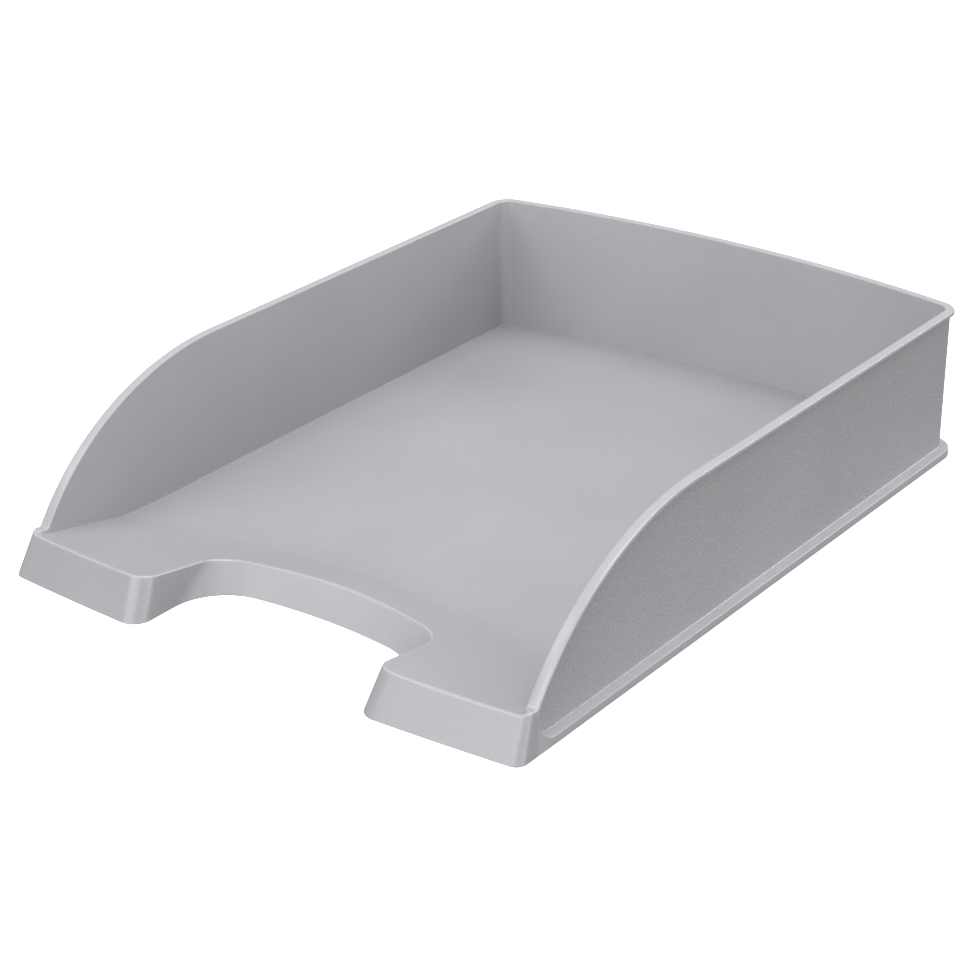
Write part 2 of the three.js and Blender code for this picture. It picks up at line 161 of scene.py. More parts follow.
# Lug corners, lip and finger cut-out
CORNER_RADIUS = 5.0
CORNER_SHRINK = 0.05
MOUTH_RADIUS = 8.0
CUTOUT_HALF_WIDTH = 55.0
CUTOUT_REAR_Y = -128.8
CUTOUT_BOW_RADIUS = 230.0
CUTOUT_CORNER_RADIUS = 25.0
CUTOUT_SIDE_LEAN = 0.16
CUTOUT_REAR_LEAN = 0.95
CUTOUT_CORNER_SHRINK = 0.8
FACE_START_Z = 3.0
FACE_END_GAP = 0.6
LIP_ROUND = 0.8
SHELF_ROUND = 0.5
SHELF_FOOT_ROUND = 0.3

# Insets of a lug's corners from its face: along the front, and beside the wall
SHELF_EDGE = (2.6, 4.9)
SHELF_FOOT = (4.2, 5.3)
HOLLOW_TOP = (SHELL + 1.5, 5.2)
HOLLOW_BEND = (SHELL, 5.1)
HOLLOW_FOOT = (SHELL, SKIRT_INNER)
HOLLOW_BEND_DROP = 1.5

# Width of the strip of floor that belongs to the ring
STRIP_SIDE = 1.0
STRIP_FRONT = 6.3
REAR_STRIP_INSET = 11.6

CORNER_X = HALF_WIDTH - REAR_CORNER_RADIUS
BOW_CENTRE_Y = REAR_Y - REAR_BOW_RADIUS
CORNER_Y = BOW_CENTRE_Y + math.sqrt((REAR_BOW_RADIUS - REAR_CORNER_RADIUS) ** 2 - CORNER_X ** 2)
BOW_ANGLE = math.atan2(CORNER_Y - BOW_CENTRE_Y, CORNER_X)
SEAM_GAP = 3
SEAM_Y = CORNER_Y - SEAM_GAP
SIDE_STATIONS = (SEAM_Y, 100, 40, -10, SWOOP_Y)

# ------------------------------------------------------------ fineness of the meshes

BEND_STEPS = 3
FINE_BEND_STEPS = 5
ARC_STEPS = 14
SWOOP_STEPS = 44
POCKET_STEPS = 18
CORNER_STEPS = 12
FACE_STEPS = 11
FACE_SPLIT = 4
CHEEK_FADE_STEPS = 14
MOUTH_STEPS = 14
CUTOUT_SIDE_STEPS = 5
CUTOUT_CORNER_STEPS = 16
CUTOUT_BOW_STEPS = 10
SETTLE_ROUNDS = 6

MERGE_DISTANCE = 0.004
SHORTEST_EDGE = 0.001
SHARP_ANGLE = math.radians(32)

# Grid points on the floor: how far its rows lie behind each crease, and how far all of them
# stay clear of the sides and of the whole outline
REAR_CREASE_ROWS = (6, 2.2, 1.1, 0.7, 0.35, 0, -0.35, -0.7, -1.1, -2.2)
FRONT_CREASE_ROWS = (3, 1.1, 0.7, 0.35, 0, -0.35, -0.7, -1.1, -3, -8, -14, -20, -30, -40, -50)
GRID_COLUMNS = 61
GRID_SIDE_GAP = 2
GRID_EDGE_GAP = 1.5
GRID_PRECISION = 1e-4


def mix(a, b, t):
    return a + (b - a) * t


def smoothstep(t):
    t = min(1.0, max(0.0, t))
    return t * t * (3 - 2 * t)


# ------------------------------------------------------------ floor surface

def crease_rear(x):
    return CREASE_REAR_Y - CREASE_REAR_BOW * x * x


def crease_front(x):
    return CREASE_FRONT_Y - CREASE_FRONT_BOW * x * x


def front_edge(x):
    return FRONT_CROWN_Y + FRONT_BOW * x * x


def soft_ramp(distance, width):
    """A ramp that starts at zero distance, with its kink rounded over a width."""
    if distance <= -width:
        return 0.0
    if distance >= width:
        return distance
    return (distance + width) ** 2 / (4 * width)


def crease_bead(x, distance):
    """The faint bead along a crease. It fades out before the side walls."""
    fade = smoothstep((CREASE_BEAD_REACH - abs(x)) / CREASE_BEAD_FADE)
    return CREASE_BEAD * fade * math.exp(-((distance / CREASE_BEAD_WIDTH) ** 2))


def floor_height(x, y):
    rear, front = crease_rear(x), crease_front(x)
    run = front - front_edge(x) - LIP_SETBACK
    swell = RAMP_SWELL * math.exp(-((x / RAMP_SWELL_WIDTH) ** 2))
    slope = (LUG_LIP_Z - RAMP_FOOT_Z) / run + swell
    blend = (RAMP_FOOT_Z - DECK_Z) / (rear - front)
    rise = blend * soft_ramp(rear - y, CREASE_REAR_ROUND)
    rise += (slope - blend) * soft_ramp(front - y, CREASE_FRONT_ROUND)
    return DECK_Z + rise + crease_bead(x, rear - y) + crease_bead(x, front - y)


# ------------------------------------------------------------ cross-sections

def bend(corner, before, after, radius, steps=BEND_STEPS):
    """Points round a corner, on a quadratic curve tangent to the directions before and after."""
    start = corner + before.normalized() * radius
    end = corner + after.normalized() * radius
    points = []
    for i in range(steps + 1):
        t = i / steps
        points.append(start * (1 - t) ** 2 + corner * (2 * t * (1 - t)) + end * t * t)
    return points


def flat(normal):
    """A direction in the side plane, from its (along, up) pair, as (inset, along, up)."""
    return Vector((0, normal[0], normal[1]))


def wall_section(low, high, top, base_y=0.0, foot_y=0.0, lean=0.0, foot_round=SIDE_FOOT_ROUND,
                 strip=WALL_FOOT + STRIP_SIDE, floor_at=None):
    """Cross-section of a wall, as (inset, along, up) points. low, high and top are each
    ((along, up), outward normal): the pocket's lower edge, its upper edge and the rim's top."""
    inward = Vector((1, 0, 0))
    under = Vector((0, 0, -SHELL))
    (low_y, low_z), low_n = low
    (high_y, high_z), high_n = high
    (top_y, top_z), top_n = top
    foot_z = DECK_Z if floor_at is None else floor_at(WALL_FOOT, foot_y)
    strip_z = DECK_Z if floor_at is None else floor_at(strip, foot_y)
    high_inset = min(RIM_OUTER, CHEEK_LEAN * high_z)
    top_inset = min(RIM_OUTER, CHEEK_LEAN * top_z)
    draft = (WALL_FOOT - RIM_INNER) / (HEIGHT - DECK_Z)

    low_out = Vector((lean * low_z, low_y, low_z))
    low_in = Vector((WALL_OUTER, low_y, low_z)) - flat(low_n) * FLANGE_RISE
    high_out = Vector((high_inset, high_y, high_z))
    high_in = Vector((WALL_OUTER, high_y, high_z)) - flat(high_n) * RIM_UNDERCUT
    top_out = Vector((top_inset, top_y, top_z))
    top_in = Vector((RIM_INNER + draft * (HEIGHT - top_z), top_y, top_z))
    foot = Vector((WALL_FOOT, foot_y, foot_z))
    strip_top = Vector((strip, foot_y, strip_z))

    points = [Vector((SKIRT_EDGE, base_y, 0)), Vector((0, base_y, SKIRT_EDGE))]
    points += bend(low_out, flat(low_n), low_in - low_out, FLANGE_ROUND)
    points += bend(low_in, low_out - low_in, -flat(low_n), POCKET_LOW_ROUND)
    points += bend(high_in, -flat(high_n), high_out - high_in, POCKET_HIGH_ROUND)
    points += bend(high_out, high_in - high_out, flat(high_n), RIM_LOW_ROUND)
    points += bend(top_out, -flat(top_n), inward, RIM_OUTER_ROUND, FINE_BEND_STEPS)
    points += bend(top_in, -inward, -flat(top_n), RIM_INNER_ROUND)
    points += bend(foot, top_in - foot, inward, foot_round, FINE_BEND_STEPS)
    points += [strip_top, strip_top + under]
    points.append(Vector((WALL_FOOT + FOOT_UNDERCUT, foot_y, foot_z - SHELL)))
    points.append(Vector((LEDGE_INNER, base_y, LEDGE_Z)))
    points.append(Vector((SKIRT_INNER, base_y, LEDGE_Z)))
    points.append(Vector((SKIRT_INNER, base_y, 0)))
    return points


# Rows of a section: the pocket with its rounded edges, the grained wall inside it, painted
# lighter as light on the outer wall, the glossy faces of the flange and the rim, painted lighter
# as a highlight, the rounding of the lugs' lip, and the end of the strip of floor. They depend on
# the steps in a bend and in a fine bend.
POCKET_ROWS = range(2, 18)
GRAINED_PAINTED_LIGHT_ROWS = range(8, 11)
GLOSSY_HIGHLIGHT_ROWS = (*range(0, 8), *range(13, 27))
LIP_ROWS = range(18, 23)
STRIP_ROW = 34

UP = (0.0, 1.0)
DOWN = (0.0, -1.0)
RAISED = {
    "low": ((0.0, FLANGE_Z), DOWN),
    "high": ((0.0, HEIGHT - RIM_DEPTH), UP),
    "top": ((0.0, HEIGHT), UP),
}


def round_stations():
    """From the middle of the rear wall, round the corner, to the start of the side."""
    stations = []
    turns = (
        (0.0, BOW_CENTRE_Y, REAR_BOW_RADIUS, math.pi / 2, BOW_ANGLE),
        (CORNER_X, CORNER_Y, REAR_CORNER_RADIUS, BOW_ANGLE, 0.0),
    )
    for centre_x, centre_y, radius, start, end in turns:
        for i in range(ARC_STEPS + 1):
            if stations and i == 0:
                continue
            angle = mix(start, end, i / ARC_STEPS)
            share = smoothstep(1 - angle / BOW_ANGLE) if radius < REAR_BOW_RADIUS else 0.0
            strip = mix(REAR_STRIP_INSET, WALL_FOOT + STRIP_SIDE, share)
            foot_round = mix(REAR_FOOT_ROUND, SIDE_FOOT_ROUND, share)
            section = wall_section(**RAISED, foot_round=foot_round, strip=strip)
            outward = Vector((math.cos(angle), math.sin(angle), 0))
            origin = Vector((centre_x, centre_y, 0)) + outward * radius
            stations.append([origin - outward * p.x + Vector((0, 0, p.z)) for p in section])
    return stations


def on_side(section):
    return [Vector((HALF_WIDTH - p.x, p.y, p.z)) for p in section]


def side_floor(inset, y):
    return floor_height(HALF_WIDTH - inset, y)


def straight_station(y):
    parts = {key: ((y, spot[1]), normal) for key, (spot, normal) in RAISED.items()}
    return on_side(wall_section(**parts, base_y=y, foot_y=y, floor_at=side_floor))


def on_swoop(angle, inside=0.0):
    """A point of the swoop, or of the curve inside it, and the outward normal there."""
    y = SWOOP_Y - (SWOOP_LENGTH - inside) * math.sin(angle)
    z = SWOOP_CENTRE_Z + (SWOOP_DROP - inside) * math.cos(angle)
    normal = Vector((-math.sin(angle) / SWOOP_LENGTH, math.cos(angle) / SWOOP_DROP)).normalized()
    return (y, z), tuple(normal)


def swoop_stations():
    stations = []
    for i in range(1, SWOOP_STEPS + 1):
        share = i / SWOOP_STEPS
        angle = SWOOP_END * share
        low_y = mix(SWOOP_Y, POCKET_ARC_Y, share)
        section = wall_section(
            ((low_y, FLANGE_Z), DOWN), on_swoop(angle, RIM_DEPTH), on_swoop(angle),
            base_y=low_y, foot_y=mix(SWOOP_Y, POCKET_ARC_Y - POCKET_FOOT_LEAD, share),
            floor_at=side_floor,
        )
        stations.append(on_side(section))
    return stations


def turned(start, end, t):
    """A unit direction part of the way from one to another."""
    return tuple(Vector((mix(start[0], end[0], t), mix(start[1], end[1], t))).normalized())


def curve_through_kink(share):
    """The rim's top line from the end of the swoop, through the hollow at its foot, to the lug."""
    if share < 0.5:
        return on_swoop(mix(SWOOP_END, KINK_TOP_ANGLE, share * 2))
    t = share * 2 - 1
    (y0, z0), start_normal = on_swoop(KINK_TOP_ANGLE)
    y1, z1 = KINK_CORNER
    y2, z2 = KINK_FOOT
    y = y0 * (1 - t) ** 2 + 2 * y1 * t * (1 - t) + y2 * t * t
    z = z0 * (1 - t) ** 2 + 2 * z1 * t * (1 - t) + z2 * t * t
    return (y, z), turned(start_normal, UP, t)


def pocket_low(share):
    """Lower edge of the pocket: the arc that sweeps up to the pocket's foremost point."""
    arc_z = FLANGE_Z + POCKET_ARC
    if share > POCKET_ARC_SHARE:
        t = (share - POCKET_ARC_SHARE) / (1 - POCKET_ARC_SHARE)
        return (POCKET_FRONT_Y, mix(arc_z, POCKET_MEET_Z, t)), (-1.0, 0.0)
    angle = math.pi / 2 * share / POCKET_ARC_SHARE
    normal = (-math.sin(angle), -math.cos(angle))
    return (POCKET_ARC_Y + POCKET_ARC * normal[0], arc_z + POCKET_ARC * normal[1]), normal


def pocket_high(share):
    """Upper edge of the pocket: it follows the swoop down to the foremost point."""
    if share <= POCKET_TOP_SHARE:
        return on_swoop(mix(SWOOP_END, POCKET_TOP_END, share / POCKET_TOP_SHARE), RIM_DEPTH)
    (y0, z0), normal = on_swoop(POCKET_TOP_END, RIM_DEPTH)
    rest = (share - POCKET_TOP_SHARE) / (1 - POCKET_TOP_SHARE)
    t = smoothstep(rest)
    spot = (mix(y0, POCKET_FRONT_Y, t), mix(z0, POCKET_MEET_Z, rest))
    return spot, turned(normal, (-1.0, 0.0), t)


def pocket_stations():
    """The rounded front end of the pocket. The last station has the pocket closed."""
    stations = []
    for i in range(1, POCKET_STEPS + 1):
        share = i / POCKET_STEPS
        section = wall_section(
            pocket_low(share), pocket_high(share), curve_through_kink(share),
            base_y=mix(POCKET_ARC_Y, CHEEK_BASE_Y, share),
            foot_y=mix(POCKET_ARC_Y - POCKET_FOOT_LEAD, KINK_FOOT[0] + KINK_FOOT_LAG, share),
            lean=CHEEK_LEAN * smoothstep(share * CHEEK_LEAN_GAIN), floor_at=side_floor,
        )
        stations.append(on_side(section))
    closed = list(stations[-1])
    closed[POCKET_ROWS.start:POCKET_ROWS.stop] = [closed[POCKET_ROWS.start]] * len(POCKET_ROWS)
    stations.append(closed)
    return stations


# ------------------------------------------------------------ front lugs and cut-out

def round_corner(face_x, side, height, inset, radius, share):
    """A point on an upright rounded corner between a side face at face_x and the front face.
    side is 1 where the side face looks to +X and -1 where it looks to -X."""
    keep = max(radius, inset)
    centre_x = face_x - side * keep
    tangent = math.atan(2 * FRONT_BOW * centre_x)
    touch_x = centre_x + keep * math.sin(tangent)
    centre_y = front_edge(touch_x) + FRONT_LEAN * height + keep * math.cos(tangent)
    start = 0.0 if side > 0 else -math.pi / 2 + tangent
    end = -math.pi / 2 + tangent if side > 0 else -math.pi
    angle = mix(start, end, share)
    left = keep - inset
    return Vector((centre_x + left * math.cos(angle), centre_y + left * math.sin(angle), height))


# Each of the next five makes a function that gives the point of an upright face at a height and
# at an inset behind the face.

def outer_corner(share):
    def place(height, inset):
        face_x = HALF_WIDTH - CHEEK_LEAN * height
        radius = CORNER_RADIUS - CORNER_SHRINK * height
        return round_corner(face_x, 1, height, inset, radius, share)
    return place


def mouth_corner(share):
    def place(height, inset):
        face_x = CUTOUT_HALF_WIDTH + CUTOUT_SIDE_LEAN * height
        return round_corner(face_x, -1, height, inset, MOUTH_RADIUS, share)
    return place


def front_face(share):
    def place(height, inset):
        start = outer_corner(1.0)(height, inset)
        end = mouth_corner(0.0)(height, inset)
        x = mix(start.x, end.x, share)
        bow = front_edge(x) - mix(front_edge(start.x), front_edge(end.x), share)
        return Vector((x, mix(start.y, end.y, share) + bow, height))
    return place


def cutout_edge(column):
    """Cut-out wall: column 1 is the end of its straight side, and column 0 its middle."""
    def place(height, inset):
        half_width = CUTOUT_HALF_WIDTH + CUTOUT_SIDE_LEAN * height + inset
        radius = CUTOUT_CORNER_RADIUS - CUTOUT_CORNER_SHRINK * height + inset
        bow = CUTOUT_BOW_RADIUS + inset
        bow_y = CUTOUT_REAR_Y + CUTOUT_REAR_LEAN * height + inset - bow
        corner_x = half_width - radius
        corner_y = bow_y + math.sqrt((bow - radius) ** 2 - corner_x ** 2)
        bow_end = math.atan2(corner_x, corner_y - bow_y)
        if column <= 0.5:
            angle = bow_end * column * 2
            return Vector((bow * math.sin(angle), bow_y + bow * math.cos(angle), height))
        angle = mix(bow_end, math.pi / 2, column * 2 - 1)
        x = corner_x + radius * math.sin(angle)
        return Vector((x, corner_y + radius * math.cos(angle), height))
    return place


def cutout_side(share):
    def place(height, inset):
        return mouth_corner(1.0)(height, inset).lerp(cutout_edge(1.0)(height, inset), share)
    return place


def front_section(place, ridge=0.0, cheek=0.0):
    """Cross-section of a lug or of the cut-out's wall. ridge is how far the foot of the rim
    stands above the floor, and cheek is 1 beside the wall and 0 along the front."""
    def on_floor(inset, lift=0.0):
        spot = place(LUG_LIP_Z, inset)
        for _ in range(SETTLE_ROUNDS):
            spot = place(floor_height(spot.x, spot.y) + lift, inset)
        return spot

    lip = on_floor(0.0, ridge)
    shelf = on_floor(mix(*SHELF_EDGE, cheek), ridge)
    shelf_foot = on_floor(mix(*SHELF_FOOT, cheek))
    strip = on_floor(STRIP_FRONT)
    hollow_z = strip.z - SHELL
    bend_z = mix(hollow_z - HOLLOW_BEND_DROP, LEDGE_Z, cheek)
    face_end_z = lip.z - LIP_ROUND - FACE_END_GAP
    last_row = len(POCKET_ROWS) - 1

    points = [place(0, SKIRT_EDGE), place(SKIRT_EDGE, 0)]
    points += [place(mix(FACE_START_Z, face_end_z, i / last_row), 0) for i in range(last_row + 1)]
    face_down = place(lip.z - LIP_ROUND, 0) - lip
    points += bend(lip, face_down, shelf - lip, LIP_ROUND, FINE_BEND_STEPS)
    points += bend(shelf, lip - shelf, shelf_foot - shelf, SHELF_ROUND)
    points += bend(shelf_foot, shelf - shelf_foot, strip - shelf_foot, SHELF_FOOT_ROUND,
                   FINE_BEND_STEPS)
    points += [strip, strip + Vector((0, 0, -SHELL))]
    points.append(place(hollow_z, mix(*HOLLOW_TOP, cheek)))
    points.append(place(bend_z, mix(*HOLLOW_BEND, cheek)))
    points.append(place(LEDGE_Z, mix(*HOLLOW_FOOT, cheek)))
    points.append(place(0, mix(*HOLLOW_FOOT, cheek)))
    return points


def lug_stations():
    """From the outer front corner to the straight side of the cut-out, and the split between
    the piece that ends on the front face and the one that starts there."""
    stations = []
    ridge = KINK_FOOT[1] - floor_height(HALF_WIDTH - KINK_INSET, KINK_FOOT[0])
    for i in range(CORNER_STEPS + FACE_STEPS):
        cheek = 1 - smoothstep(i / CHEEK_FADE_STEPS)
        if i <= CORNER_STEPS:
            place = outer_corner(i / CORNER_STEPS)
        else:
            place = front_face((i - CORNER_STEPS) / FACE_STEPS)
        stations.append(front_section(place, ridge * cheek, cheek))
    for i in range(MOUTH_STEPS + 1):
        stations.append(front_section(mouth_corner(i / MOUTH_STEPS)))
    for i in range(1, CUTOUT_SIDE_STEPS):
        stations.append(front_section(cutout_side(i / CUTOUT_SIDE_STEPS)))
    return stations, CORNER_STEPS + FACE_SPLIT


def cutout_stations():
    """From where the lug ends, on the straight side of the cut-out, to the cut-out's middle."""
    stations = [front_section(cutout_side((CUTOUT_SIDE_STEPS - 1) / CUTOUT_SIDE_STEPS))]
    for i in range(CUTOUT_CORNER_STEPS + 1):
        stations.append(front_section(cutout_edge(1 - 0.5 * i / CUTOUT_CORNER_STEPS)))
    for i in range(1, CUTOUT_BOW_STEPS + 1):
        stations.append(front_section(cutout_edge(0.5 - 0.5 * i / CUTOUT_BOW_STEPS)))
    return stations


# ------------------------------------------------------------ meshes

def finish_piece(name, bm, materials, replaced):
    bmesh.ops.remove_doubles(bm, verts=bm.verts, dist=MERGE_DISTANCE)
    bmesh.ops.dissolve_degenerate(bm, edges=bm.edges, dist=SHORTEST_EDGE)
    bmesh.ops.recalc_face_normals(bm, faces=bm.faces)
    bmesh.ops.scale(bm, vec=Vector((1, 1, 1)) / MM, verts=bm.verts)
    mesh = bpy.data.meshes.new(name)
    bm.to_mesh(mesh)
    bm.free()
    for material in materials:
        mesh.materials.append(material)
    mesh.shade_smooth()
    mesh.set_sharp_from_angle(angle=SHARP_ANGLE)
    piece = bpy.data.objects.new(name, mesh)
    bpy.context.scene.collection.objects.link(piece)
    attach(piece, "root")
    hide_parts(*replaced)


def mirror(stations):
    return [[Vector((-p.x, p.y, p.z)) for p in section] for section in stations]


def sweep(name, stations, materials, replaced, walled):
    """A closed body from a row of closed cross-sections, capped at both ends. Along the walled
    stations, which come first, the pocket is grained and painted lighter as light on the outer
    wall, and the flange and the rim are glossy and painted lighter as a highlight, as is the lip
    along the others."""
    bm = bmesh.new()
    rings = [[bm.verts.new(p) for p in section] for section in stations]
    rows = len(stations[0])
    for k, (near, far) in enumerate(zip(rings, rings[1:])):
        for i in range(rows):
            j = (i + 1) % rows
            face = bm.faces.new((near[i], near[j], far[j], far[i]))
            if k < walled and i in GRAINED_PAINTED_LIGHT_ROWS:
                face.material_index = 1
            elif i in (GLOSSY_HIGHLIGHT_ROWS if k < walled else LIP_ROWS):
                face.material_index = 2
    bm.faces.new(rings[0])
    bm.faces.new(reversed(rings[-1]))
    finish_piece(name, bm, materials, replaced)


def inside(outline, spot, margin):
    """Whether a spot is inside a closed outline and at least a margin away from it."""
    x, y = spot
    crossings = 0
    for (x0, y0), (x1, y1) in zip(outline, outline[1:] + outline[:1]):
        if (y0 > y) != (y1 > y) and x < x0 + (y - y0) * (x1 - x0) / (y1 - y0):
            crossings += 1
        span = Vector((x1 - x0, y1 - y0))
        if span.length > 0:
            t = min(1.0, max(0.0, (Vector((x - x0, y - y0)) @ span) / span.length_squared))
            if (Vector((x0, y0)) + span * t - Vector(spot)).length < margin:
                return False
    return crossings % 2 == 1


def floor_piece(rim, materials, replaced):
    """The floor inside the ring: a triangulation of its outline and of rows of points along
    the two creases and over the raised front, with a parallel underside."""
    points = [Vector((p.x, p.y)) for p in rim]
    count = len(points)
    edges = [(i, (i + 1) % count) for i in range(count)]
    outline = [tuple(p) for p in points]
    reach = HALF_WIDTH - WALL_FOOT - STRIP_SIDE
    for crease, offsets in ((crease_rear, REAR_CREASE_ROWS), (crease_front, FRONT_CREASE_ROWS)):
        for offset in offsets:
            for i in range(GRID_COLUMNS):
                share = i / (GRID_COLUMNS - 1)
                x = mix(-reach + GRID_SIDE_GAP, reach - GRID_SIDE_GAP, share)
                spot = (x, crease(x) + offset)
                if inside(outline, spot, GRID_EDGE_GAP):
                    points.append(Vector(spot))
    spots, _, faces, _, _, _ = delaunay_2d_cdt(points, edges, [], 1, GRID_PRECISION)
    bm = bmesh.new()
    top = [bm.verts.new((p.x, p.y, floor_height(p.x, p.y))) for p in spots]
    under = [bm.verts.new((v.co.x, v.co.y, v.co.z - SHELL)) for v in top]
    for face in faces:
        bm.faces.new([top[i] for i in face])
        bm.faces.new([under[i] for i in reversed(face)])
    open_edges = [edge for edge in bm.edges if len(edge.link_faces) == 1]
    twins = dict(zip(top, under))
    for edge in open_edges:
        a, b = edge.verts
        if a in twins and b in twins:
            bm.faces.new((a, b, twins[b], twins[a]))
    finish_piece("tray_floor", bm, materials, replaced)


# ------------------------------------------------------------ materials

# Noises: scale, detail and roughness. Colours are linear.
CLOUD_NOISE = (14, 3, 0.5)
SPECK_NOISE = (850, 3, 0.55)
CLOUD_DARK = (0.345, 0.343, 0.362)
CLOUD_PALE = (0.37, 0.367, 0.387)
CLOUD_STOPS = (0.3, 0.7)
PIT_STOPS = (0.35, 0.65)
GRAIN_DEPTH = 0.0006
POLYSTYRENE_IOR = 1.5
GLOSS_BELOW = 0.05
GLOSS_ABOVE = 0.07

BACKDROP_NOISE_SCALE = 3
BACKDROP_TONES = (0.93, 0.95)
BACKDROP_ROUGHNESS = 0.9
BACKDROP_GLOW = 0.6


def polystyrene(name, tone, roughness, grain, mottle):
    """Mid grey polystyrene with a faint violet cast, lighter where tone is above 1; that lighter
    tone is painted light on the grained outer walls and a painted highlight on the glossy skin.
    grain is the depth of its eroded skin, and mottle is how much darker the pits are painted, as
    shade in the grain's hollows."""
    material = bpy.data.materials.new(name)
    material.use_nodes = True
    nodes, links = material.node_tree.nodes, material.node_tree.links
    shader = nodes["Principled BSDF"]
    place = nodes.new("ShaderNodeTexCoord")

    def noise(scale, detail, rough):
        texture = nodes.new("ShaderNodeTexNoise")
        texture.inputs["Scale"].default_value = scale
        texture.inputs["Detail"].default_value = detail
        texture.inputs["Roughness"].default_value = rough
        links.new(place.outputs["Object"], texture.inputs["Vector"])
        return texture.outputs["Fac"]

    def ramp(value, positions, colours):
        node = nodes.new("ShaderNodeValToRGB")
        for element, position, colour in zip(node.color_ramp.elements, positions, colours):
            element.position = position
            element.color = (*colour, 1)
        links.new(value, node.inputs["Fac"])
        return node.outputs["Color"]

    cloud = noise(*CLOUD_NOISE)
    speck = noise(*SPECK_NOISE)
    shades = [[part * tone for part in colour] for colour in (CLOUD_DARK, CLOUD_PALE)]
    body = ramp(cloud, CLOUD_STOPS, shades)
    # The pits of the grain are painted darker, as shade in their hollows
    pit_shade = ramp(speck, PIT_STOPS, ([1 - mottle] * 3, [1.0] * 3))
    blend = nodes.new("ShaderNodeMix")
    blend.data_type = "RGBA"
    blend.blend_type = "MULTIPLY"
    blend.inputs["Factor"].default_value = 1.0
    links.new(body, blend.inputs["A"])
    links.new(pit_shade, blend.inputs["B"])
    links.new(blend.outputs["Result"], shader.inputs["Base Color"])

    gloss = nodes.new("ShaderNodeMapRange")
    gloss.inputs["To Min"].default_value = roughness - GLOSS_BELOW
    gloss.inputs["To Max"].default_value = roughness + GLOSS_ABOVE
    links.new(cloud, gloss.inputs["Value"])
    links.new(gloss.outputs["Result"], shader.inputs["Roughness"])

    bump = nodes.new("ShaderNodeBump")
    bump.inputs["Strength"].default_value = grain
    bump.inputs["Distance"].default_value = GRAIN_DEPTH
    links.new(speck, bump.inputs["Height"])
    links.new(bump.outputs["Normal"], shader.inputs["Normal"])
    shader.inputs["IOR"].default_value = POLYSTYRENE_IOR
    return material


def backdrop_material():
    """A nearly even white that glows faintly."""
    material = bpy.data.materials.new("studio_white")
    material.use_nodes = True
    nodes, links = material.node_tree.nodes, material.node_tree.links
    shader = nodes["Principled BSDF"]
    texture = nodes.new("ShaderNodeTexNoise")
    texture.inputs["Scale"].default_value = BACKDROP_NOISE_SCALE
    tone = nodes.new("ShaderNodeValToRGB")
    for element, shade in zip(tone.color_ramp.elements, BACKDROP_TONES):
        element.color = (shade, shade, shade, 1)
    links.new(texture.outputs["Fac"], tone.inputs["Fac"])
    links.new(tone.outputs["Color"], shader.inputs["Base Color"])
    shader.inputs["Roughness"].default_value = BACKDROP_ROUGHNESS
    shader.inputs["Emission Color"].default_value = (1, 1, 1, 1)
    shader.inputs["Emission Strength"].default_value = BACKDROP_GLOW
    return material


# ------------------------------------------------------------ build the tray

# Smooth inside, eroded in the pocket of the walls and painted lighter there as light on the outer
# walls, and glossy on the flange, rim and lip and painted lighter there as a highlight. All three
# have their pits painted darker, as shade.
skins = (
    polystyrene("polystyrene_satin", tone=1.0, roughness=0.36, grain=0.08, mottle=0.04),
    # tone 1.15 is painted light: the grained outer walls are lighter to stand in for the light
    # falling on them
    polystyrene("polystyrene_grained_painted_light", tone=1.15, roughness=0.45, grain=0.5, mottle=0.15),
    # tone 1.14 is a painted highlight: the flange, rim and lip are lighter to stand in for the
    # light they reflect
    polystyrene("polystyrene_glossy_highlight", tone=1.14, roughness=0.2, grain=0.04, mottle=0.02),
)

round_right = round_stations() + [straight_station(SEAM_Y)]
wall_right = [straight_station(y) for y in SIDE_STATIONS] + swoop_stations() + pocket_stations()
front_right, split = lug_stations()
side_right = wall_right + front_right[:split + 1]
lug_right = front_right[split:]
cutout_right = cutout_stations()

rear_all = mirror(reversed(round_right[1:])) + round_right
cutout_all = cutout_right + mirror(reversed(cutout_right[:-1]))

sweep("tray_rear_wall", rear_all, skins, ("rear_wall", "rim_rear", "skirt_rear"), len(rear_all))
sweep("tray_cutout", cutout_all, skins, ("cutout_rear",), 0)
for side, turn in (("right", list), ("left", mirror)):
    # The skins of the pocket stop before the last stretch of the wall, where the pocket closes
    walls = (f"side_wall_{side}", f"rim_side_{side}", f"skirt_side_{side}", f"lug_cheek_{side}")
    sweep(f"tray_side_{side}", turn(side_right), skins, walls, len(wall_right) - 2)
    lugs = (f"lug_front_{side}", f"cutout_side_{side}")
    sweep(f"tray_lug_{side}", turn(lug_right), skins, lugs, 0)

half = round_right + side_right[1:] + lug_right[1:] + cutout_right[1:]
rim_right = [section[STRIP_ROW] for section in half]
rim_left = [Vector((-p.x, p.y, p.z)) for p in reversed(rim_right[1:-1])]
floors = ("floor_deck", "floor_blend", "front_bridge", "lug_top_left", "lug_top_right")
floor_piece(rim_right + rim_left, skins, floors)

# ------------------------------------------------------------ studio, in metres and watts

FLOOR_RADIUS = 5.0
CURL_RADIUS = 2.0
CURL_STEPS = 16
BACKDROP_TOP = 7.0
BACKDROP_SIDES = 64
BACKDROP_MERGE = 1e-5

# Name, place, size and power
SOFTBOXES = (
    ("overhead_softbox", (0.25, 0.4, 2.5), 2.0, 52),
    ("back_softbox", (-2.0, 2.7, 1.6), 3.6, 14),
    ("front_softbox", (-0.3, -2.6, 1.2), 2.4, 66),
    ("right_fill", (2.5, -0.7, 0.9), 1.6, 16),
    ("low_right_fill", (2.4, -0.2, 0.28), 0.5, 9),
    ("lip_light", (-1.5, -1.2, 2.1), 1.0, 7),
    ("edge_light", (1.4, 2.6, 1.6), 1.2, 24),
)
WORLD_STRENGTH = 0.27

CAMERA_AT = (0.5778, -0.8077, 0.4824)
CAMERA_TURN = math.radians(36.41)
CAMERA_PITCH = math.radians(25.35)
CAMERA_SENSOR_MM = 36
CAMERA_LENS_MM = 95.58


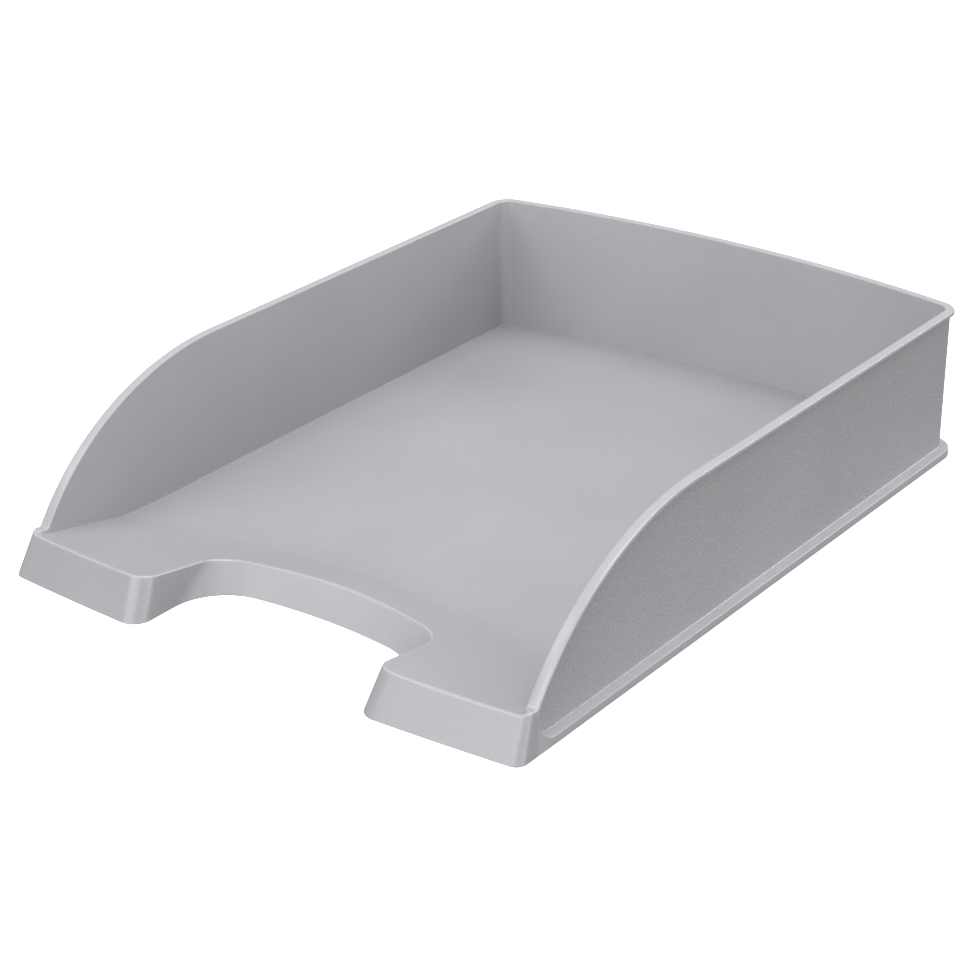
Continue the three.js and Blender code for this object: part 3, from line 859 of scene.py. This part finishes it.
def stage_floor():
    """A pale round ground that curls up into a backdrop all round. Only the camera sees it, so
    it throws no light back on the tray."""
    profile = [(0.0, 0.0)]
    for i in range(CURL_STEPS + 1):
        angle = math.pi / 2 * i / CURL_STEPS
        rise = CURL_RADIUS * (1 - math.cos(angle))
        profile.append((FLOOR_RADIUS + CURL_RADIUS * math.sin(angle), rise))
    profile.append((FLOOR_RADIUS + CURL_RADIUS, BACKDROP_TOP))
    bm = bmesh.new()
    verts = [bm.verts.new((r, 0, z)) for r, z in profile]
    edges = [bm.edges.new(pair) for pair in zip(verts, verts[1:])]
    bmesh.ops.spin(bm, geom=verts + edges, cent=(0, 0, 0), axis=(0, 0, 1), angle=2 * math.pi,
                   steps=BACKDROP_SIDES, use_merge=True)
    bmesh.ops.remove_doubles(bm, verts=bm.verts, dist=BACKDROP_MERGE)
    mesh = bpy.data.meshes.new("studio_floor")
    bm.to_mesh(mesh)
    bm.free()
    mesh.shade_smooth()
    mesh.materials.append(backdrop_material())
    ground = bpy.data.objects.new("studio_floor", mesh)
    bpy.context.scene.collection.objects.link(ground)
    ground.visible_diffuse = False
    ground.visible_glossy = False
    ground.visible_shadow = False


def softbox(name, place, size, power):
    """A square area light that looks at the tray."""
    data = bpy.data.lights.new(name, "AREA")
    data.shape = "SQUARE"
    data.size = size
    data.energy = power
    light = bpy.data.objects.new(name, data)
    light.location = place
    light.rotation_mode = "QUATERNION"
    light.rotation_quaternion = (-Vector(place)).to_track_quat("-Z", "Y")
    bpy.context.scene.collection.objects.link(light)


def studio_light():
    for settings in SOFTBOXES:
        softbox(*settings)
    world = bpy.data.worlds.new("studio_world")
    world.use_nodes = True
    background = world.node_tree.nodes["Background"]
    background.inputs["Color"].default_value = (1, 1, 1, 1)
    background.inputs["Strength"].default_value = WORLD_STRENGTH
    bpy.context.scene.world = world
    bpy.context.scene.view_settings.view_transform = "Standard"


def photo_camera():
    data = bpy.data.cameras.new("photo_camera")
    data.sensor_width = CAMERA_SENSOR_MM
    data.lens = CAMERA_LENS_MM
    camera = bpy.data.objects.new("photo_camera", data)
    camera.location = CAMERA_AT
    camera.rotation_euler = (math.pi / 2 - CAMERA_PITCH, 0, CAMERA_TURN)
    bpy.context.scene.collection.objects.link(camera)
    bpy.context.scene.camera = camera


stage_floor()
studio_light()
photo_camera()
